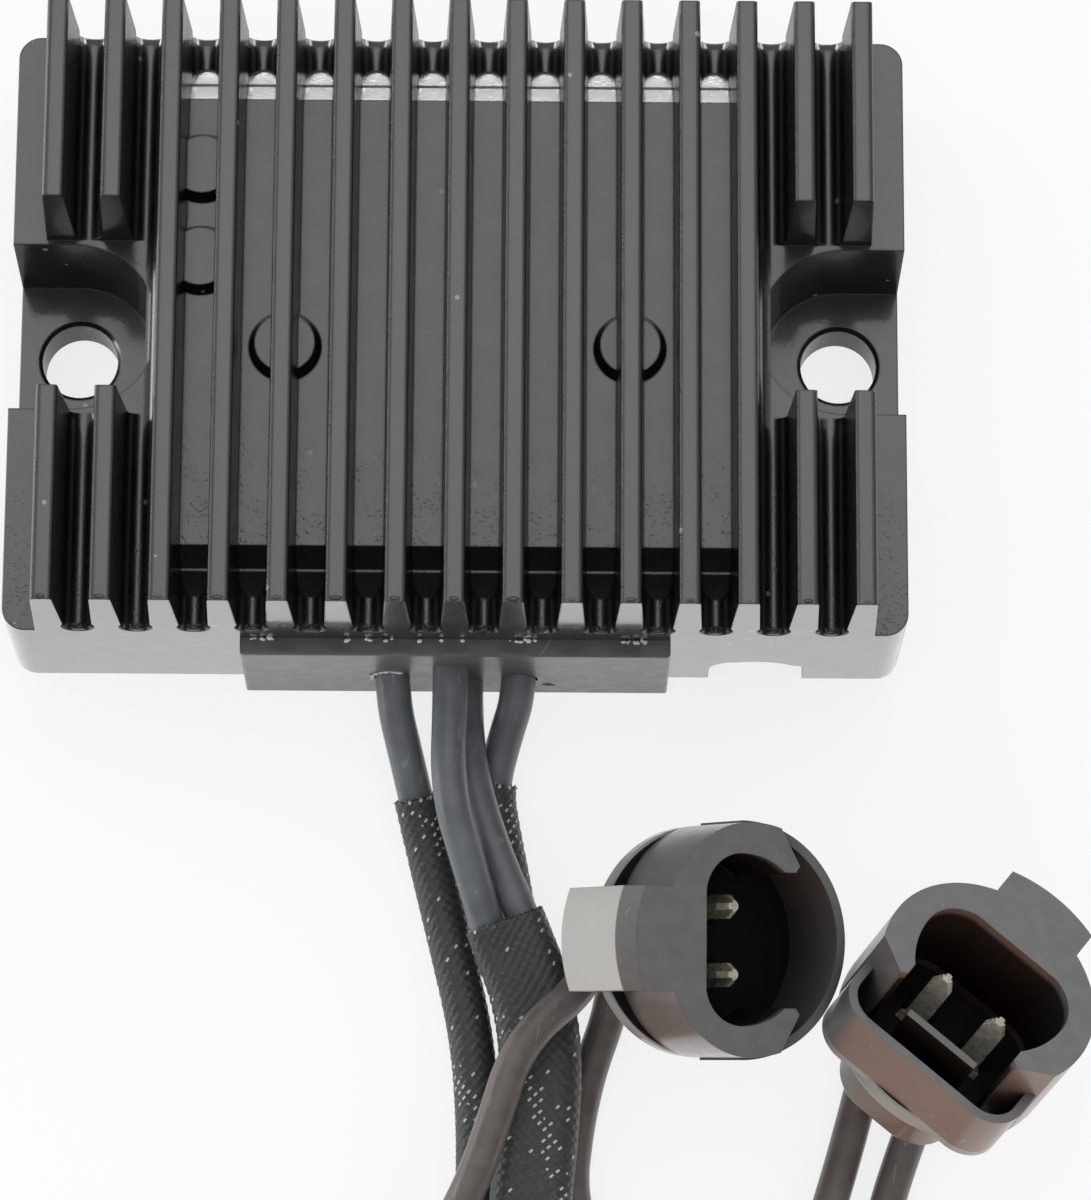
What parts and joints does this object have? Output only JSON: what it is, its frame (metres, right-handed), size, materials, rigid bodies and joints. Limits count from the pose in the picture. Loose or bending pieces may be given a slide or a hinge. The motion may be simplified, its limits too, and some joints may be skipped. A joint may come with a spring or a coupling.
{
  "type": "voltage regulator",
  "caption": "Finned cast voltage regulator with mounting ears, a front lead block, braided leads and round plugs with key tabs.",
  "frame": {"origin": "middle of the two mounting holes, on the mounting face", "axes": "+Z out of the mounting face towards the fins' tops, +X along the line of the holes, the fins run along Y and the leads leave the -Y face"},
  "size_m": [0.1405, 0.2107, 0.0461],
  "materials": {
    "black_painted_casting": "semi-gloss paint over an aluminium alloy casting",
    "block_moulding": "grey-beige moulding",
    "resin": "black potting resin",
    "board_laminate": "green epoxy laminate",
    "device_case": "black moulded case",
    "pad_silicone": "grey silicone pad",
    "screw_steel": "zinc plated",
    "capacitor_sleeve": "dark blue sleeve on an aluminium can",
    "diode_glass": "black moulded body",
    "resistor_body": "beige lacquered ceramic",
    "lead_insulation": "dark grey silicone rubber insulation",
    "braided_sleeve": "dark grey varnished glass braid",
    "plug_moulding": "dark grey-brown moulding",
    "seal_rubber": "black rubber",
    "pin_plating": "tin plated brass"
  },
  "bodies": {
    "root": {"heat_sink": "black_painted_casting", "lead_exit_block": "block_moulding", "potting_compound": "resin", "circuit_board": "board_laminate", "thyristor_left": "device_case", "diode_left": "device_case", "diode_right": "device_case", "thyristor_right": "device_case", "thermal_pads": "pad_silicone", "clamp_screws": "screw_steel", "filter_capacitor": "capacitor_sleeve", "control_transistor": "device_case", "zener_diode": "diode_glass", "sense_resistors": "resistor_body", "lead_left": "lead_insulation", "lead_right": "lead_insulation", "lead_upper": "lead_insulation", "lead_lower": "lead_insulation", "sleeve_left": "braided_sleeve", "sleeve_right": "braided_sleeve", "sleeve_pair": "braided_sleeve", "left_plug_housing": "plug_moulding", "left_plug_seal": "seal_rubber", "left_plug_pin_1": "pin_plating", "left_plug_pin_2": "pin_plating", "right_plug_housing": "plug_moulding", "right_plug_seal": "seal_rubber", "right_plug_pin_1": "pin_plating", "right_plug_pin_2": "pin_plating"}
  },
  "joints": []
}
